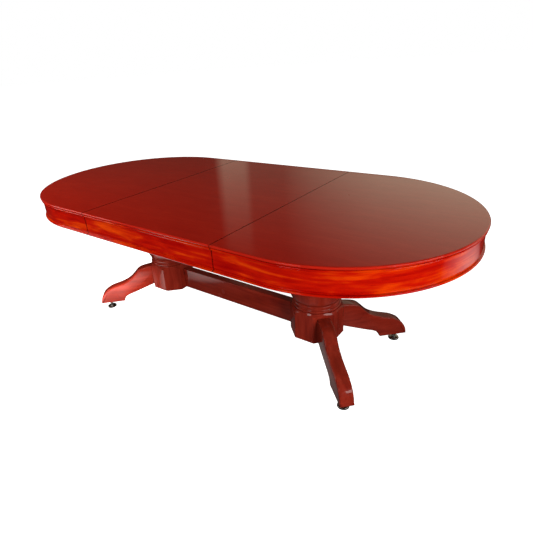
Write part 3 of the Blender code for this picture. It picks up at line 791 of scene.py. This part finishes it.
def whole_stations(straight_steps, arc_steps):
    right, left = arc_stations(1, arc_steps), arc_stations(-1, arc_steps)
    back = straight_stations(HALF_STRAIGHT, -HALF_STRAIGHT, math.pi / 2, straight_steps)[1:-1]
    front = straight_stations(-HALF_STRAIGHT, HALF_STRAIGHT, -math.pi / 2, straight_steps)[1:-1]
    return right + back + left + front


def beside(offset, depth, reach):
    """A smooth bump of the given depth at a seam, fading over reach metres."""
    return depth * math.exp(-(offset / reach) ** 2)


def padded_rail():
    """The upholstered rail: a crowned ring, sewn across at even spaces, that puckers beside each seam."""
    stations = whole_stations(160, 150)
    points = [Vector(outline_point(s, RAIL_OUTER + RAIL_WIDTH / 2, 0)) for s in stations]
    lengths = [0.0]
    for a, b in zip(points, points[1:]):
        lengths.append(lengths[-1] + (b - a).length)
    total = lengths[-1] + (points[0] - points[-1]).length
    spacing = total / RAIL_SEAMS
    bm = bmesh.new()
    rings = []
    for station, s in zip(stations, lengths):
        offset = abs((s / spacing + 0.5) % 1 - 0.5) * spacing
        dip = beside(offset, STITCH_DEPTH, STITCH_REACH) + beside(offset, VALLEY_DEPTH, VALLEY_REACH)
        pucker = beside(offset, PUCKER_DEPTH, PUCKER_REACH)
        ring = []
        for k, (inset, z, out, up) in enumerate(rail_section()):
            wave = pucker * math.sin(k * 1.3 + s * 240)
            drift = RAIL_WANDER * noise.noise(Vector((s * 5.0, inset * 40.0, z * 30.0)))
            push = drift + wave - dip * (1 if z > RAIL_LOW + 0.004 else 0)
            ring.append(bm.verts.new(outline_point(station, inset - out * push, z + up * push)))
        rings.append(ring)
    skin(bm, rings, wrap_ring=True, wrap_path=True)
    rail = finish_piece("rail_cushion", bm, VINYL, ROOT, ["padded_rail"], sharp=75.0)


def rail_section():
    """(inset, z, outward, upward) round the rail's cross-section; the last two are the surface's normal."""
    center = RAIL_OUTER + RAIL_WIDTH / 2
    half, low, top = RAIL_WIDTH / 2 - 0.0015, RAIL_LOW + 0.0005, RAIL_HIGH - 0.0012
    rise = top - low
    rows = []
    steps, squareness = 28, 0.42
    for k in range(steps + 1):
        t = math.pi * k / steps
        c, s = math.cos(t), math.sin(t)
        across = math.copysign(abs(c) ** squareness, c)
        height = abs(s) ** squareness
        rows.append((center - half * across, low + rise * height, c, s))
    rows += [(center + half * 0.6, low, 0, 0), (center, low, 0, 0), (center - half * 0.6, low, 0, 0)]
    return rows


def playing_surface():
    """Foam under a stretched sheet of playing cloth."""
    low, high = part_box("playing_cloth")
    inset = END_RADIUS - high.y
    stations = whole_stations(24, 72)
    cloth_thickness, gap = 0.0014, 0.0002
    foam_top = high.z - cloth_thickness - gap
    edge = [(inset + 0.02, foam_top), (inset + 0.001, foam_top), (inset, foam_top - 0.001), (inset, low.z)]
    foam = finish_piece("playing_foam", racetrack_slab(stations, edge, whole=True), FOAM, ROOT)
    cloth_low = foam_top + gap
    edge = [(inset + 0.02, high.z), (inset + 0.0012, high.z), (inset + gap, high.z - 0.0004),
            (inset + gap, cloth_low)]
    cloth = finish_piece("playing_cloth_sheet", racetrack_slab(stations, edge, whole=True), CLOTH, ROOT,
                         ["playing_cloth"])


SAWN_EASE = 0.0008


def repaint(names, material, width=0.0):
    for name in names:
        node = frame["nodes"][name]
        node.data.materials.clear()
        node.data.materials.append(material)
        if width:
            eased(node, width)


def carried_nodes():
    """CAD nodes whose shape is already right get their material, and the wooden ones softened edges."""
    boards = ["deck_board", "rail_board", "bearer_front", "bearer_back", "cross_rail_left",
              "cross_rail_right"]
    repaint(boards, PLYWOOD, SAWN_EASE)
    for name, _ in SIDES:
        repaint(["top_plate_" + name, "base_plate_" + name], BASE_WOOD, SAWN_EASE)
    metal = [n for n in frame["nodes"] if "bolt" in n or n.startswith("tie_nut")]
    repaint(metal, STEEL)


# ---------------------------------------------------------------- stage, light and camera

CAMERA_PLACE = Vector((1.3799, -1.5646, 1.3474))
YAW, PITCH, ROLL = math.radians(38.31), math.radians(25.75), math.radians(-4.02)
SENSOR_MM, LENS_MM = 36.0, 29.07
SHIFT_X, SHIFT_Y = 0.0211, -0.0031

ROOM_FOR_REFLECTIONS = 0.012
ROOM_FILL = 0.26
LAMP_WHITE = (1.0, 0.96, 0.92)
WALL_GLOW = (1.0, 0.91, 0.66)


def camera():
    data = bpy.data.cameras.new("camera")
    data.sensor_width = SENSOR_MM
    data.lens = LENS_MM
    data.shift_x, data.shift_y = SHIFT_X, SHIFT_Y
    obj = linked("camera", data)
    forward = Vector((-math.sin(YAW) * math.cos(PITCH), math.cos(YAW) * math.cos(PITCH), -math.sin(PITCH)))
    right = forward.cross(Vector((0, 0, 1))).normalized()
    up = right.cross(forward)
    right, up = (math.cos(ROLL) * right + math.sin(ROLL) * up, math.cos(ROLL) * up - math.sin(ROLL) * right)
    basis = Matrix((right, up, -forward)).transposed().to_4x4()
    obj.matrix_world = Matrix.Translation(CAMERA_PLACE) @ basis
    bpy.context.scene.camera = obj


def floor():
    """A pale floor, bright enough to run into the white behind the table without a horizon."""
    radius, thickness = 60.0, 0.05
    bm = bmesh.new()
    turned(bm, [(radius, -thickness), (radius, 0.0)], 64)
    bmesh.ops.recalc_face_normals(bm, faces=bm.faces)
    mesh = mesh_of("studio_floor", bm)
    m = Nodes("pale_floor")
    m.set(base_color=(0.90, 0.90, 0.90, 1), roughness=0.9, specular_ior_level=0.0)
    m.set(emission_color=(1.0, 1.0, 1.0, 1), emission_strength=1.0)
    mesh.materials.append(m.material)
    obj = linked("studio_floor", mesh)
    obj.visible_glossy = False
    obj.visible_diffuse = False


def world():
    """White for the camera, a soft fill for rough surfaces, and a dark room for reflections."""
    w = bpy.data.worlds.new("studio")
    bpy.context.scene.world = w
    w.use_nodes = True
    tree = w.node_tree
    path = tree.nodes.new("ShaderNodeLightPath")
    room = tree.nodes["Background"]
    room.inputs["Color"].default_value = (1.0, 0.97, 0.94, 1)
    room.inputs["Strength"].default_value = ROOM_FOR_REFLECTIONS
    shader = room.outputs[0]
    for ray, color, strength in (("Is Diffuse Ray", (1.0, 0.985, 0.97, 1), ROOM_FILL),
                                 ("Is Camera Ray", (1, 1, 1, 1), 1.0)):
        background = tree.nodes.new("ShaderNodeBackground")
        background.inputs["Color"].default_value = color
        background.inputs["Strength"].default_value = strength
        mix = tree.nodes.new("ShaderNodeMixShader")
        tree.links.new(path.outputs[ray], mix.inputs[0])
        tree.links.new(shader, mix.inputs[1])
        tree.links.new(background.outputs[0], mix.inputs[2])
        shader = mix.outputs[0]
    tree.links.new(shader, tree.nodes["World Output"].inputs["Surface"])


def aim(obj, place, target):
    obj.location = place
    obj.rotation_euler = (Vector(target) - Vector(place)).to_track_quat("-Z", "Y").to_euler()


def softbox(name, place, target, size, power, diffuse=True):
    """A rectangular soft light; power is in watts, and its size is (width, height)."""
    data = bpy.data.lights.new(name, "AREA")
    data.shape = "RECTANGLE"
    data.size, data.size_y = size
    data.energy = power
    data.color = LAMP_WHITE
    light = linked(name, data)
    aim(light, place, target)
    light.visible_camera = False
    light.visible_diffuse = diffuse
    return light


def snooted_lamp(name, place, target, cone, power):
    """A soft-edged pool of light for one part of the table, not seen in reflections."""
    data = bpy.data.lights.new(name, "SPOT")
    data.spot_size = math.radians(cone)
    data.spot_blend = 1.0
    data.shadow_soft_size = 0.20
    data.energy = power
    data.color = LAMP_WHITE
    lamp = linked(name, data)
    aim(lamp, place, target)
    lamp.visible_glossy = False


def reflection_wall():
    """A wall behind the table that only reflections see.

    It is dark at the left, with one pale upright panel, and gets brighter towards the right. It is dim
    below a dado line, brightest just above it, and fades upwards.
    """
    m = Nodes("reflection_wall")
    axes = m.add("ShaderNodeSeparateXYZ")
    m.link(m.add("ShaderNodeTexCoord").outputs["Object"], axes.inputs[0])
    x_low, x_high = -6.0, 2.0
    along = m.math("DIVIDE", m.math("SUBTRACT", axes.outputs["X"], x_low), x_high - x_low)
    stops = [(-3.30, 0.04), (-3.12, 0.36), (-2.70, 0.34), (-2.58, 0.12), (-2.00, 0.13), (-1.50, 0.32),
             (-0.60, 0.62), (0.30, 0.80), (1.50, 0.95)]
    level = m.ramp(along, [((x - x_low) / (x_high - x_low), (v, v, v)) for x, v in stops])
    fade = m.math("SUBTRACT", 1.0, m.math("MULTIPLY", m.math("SUBTRACT", axes.outputs["Z"], 1.6), 0.55))
    fade = m.math("MAXIMUM", m.math("MINIMUM", fade, 1.1), 0.03)
    dado = m.ramp(m.math("MULTIPLY", axes.outputs["Z"], 0.5), [(0.76, (0.2, 0.2, 0.2)), (0.80, (1, 1, 1))])
    m.link(m.math("MULTIPLY", m.math("MULTIPLY", level, fade), dado), m.shader.inputs["Emission Strength"])
    m.set(base_color=(0, 0, 0, 1), specular_ior_level=0.0, emission_color=(*WALL_GLOW, 1))
    distance, left, right, height = 3.5, -9.0, 6.0, 4.5
    mesh = bpy.data.meshes.new("reflection_wall")
    mesh.from_pydata([(left, distance, 0), (right, distance, 0), (right, distance, height),
                      (left, distance, height)], [], [(0, 1, 2, 3)])
    mesh.materials.append(m.material)
    only_reflections("reflection_wall", mesh)


def glow_card(name, center, radius, strength):
    """A round card on the floor that only reflections see, brightest at its centre."""
    m = Nodes(name)
    offset = m.add("ShaderNodeVectorMath", operation="DISTANCE")
    m.link(m.add("ShaderNodeTexCoord").outputs["Object"], offset.inputs[0])
    offset.inputs[1].default_value = (*center, 0)
    fall = m.math("SUBTRACT", 1.0, m.math("DIVIDE", offset.outputs["Value"], radius), clamp=True)
    m.link(m.math("MULTIPLY", m.math("POWER", fall, 0.7), strength), m.shader.inputs["Emission Strength"])
    m.set(base_color=(0, 0, 0, 1), specular_ior_level=0.0, emission_color=(*LAMP_WHITE, 1))
    bm = bmesh.new()
    bm.faces.new([bm.verts.new((x, y, 0.0)) for x, y in circle(center, radius, 48)])
    mesh = mesh_of(name, bm)
    mesh.materials.append(m.material)
    only_reflections(name, mesh)


def only_reflections(name, mesh):
    """A staged object that no camera, diffuse or shadow ray sees."""
    obj = linked(name, mesh)
    obj.visible_camera = False
    obj.visible_diffuse = False
    obj.visible_shadow = False
    obj.visible_transmission = False


def lights():
    """Three boxes that light surfaces, three that only reflections see, a pool on one leg, and cards."""
    left_key = softbox("left_key", (-1.45, -1.55, 1.9), (-0.8, -0.35, 0.76), (0.8, 0.7), 35)
    softbox("left_box", (-2.9, -1.65, 1.80), (-0.5, -0.57, 0.76), (1.1, 0.5), 8, diffuse=False)
    softbox("front_box", (0.35, -2.4, 1.55), (0.7, -0.55, 0.76), (0.7, 0.5), 4, diffuse=False)
    softbox("right_window", (3.0, -0.5, 1.50), (1.1, -0.2, 0.76), (1.8, 0.5), 12, diffuse=False)
    low_fill = softbox("low_fill", (-0.3, -2.4, 0.85), (-0.2, 0, 0.5), (1.6, 0.5), 13)
    right_box = softbox("right_box", (2.8, -1.45, 0.90), (1.0, -0.2, 0.6), (0.7, 0.7), 60)
    for light in (left_key, low_fill, right_box):
        light.visible_glossy = False
    snooted_lamp("leg_lamp", (0.3, -1.9, 0.7), (-0.76, -0.26, 0.12), 17, 650)
    glow_card("leg_card", (-0.60, -0.60), 0.34, 4.0)
    glow_card("base_card", (0.50, -0.10), 0.50, 0.16)
    glow_card("far_card", (2.10, 1.00), 0.80, 1.2)


bpy.context.scene.view_settings.view_transform = "Standard"
dining_cover()
pedestals()
stretcher()
legs()
glides()
padded_rail()
playing_surface()
carried_nodes()
camera()
floor()
world()
lights()
reflection_wall()
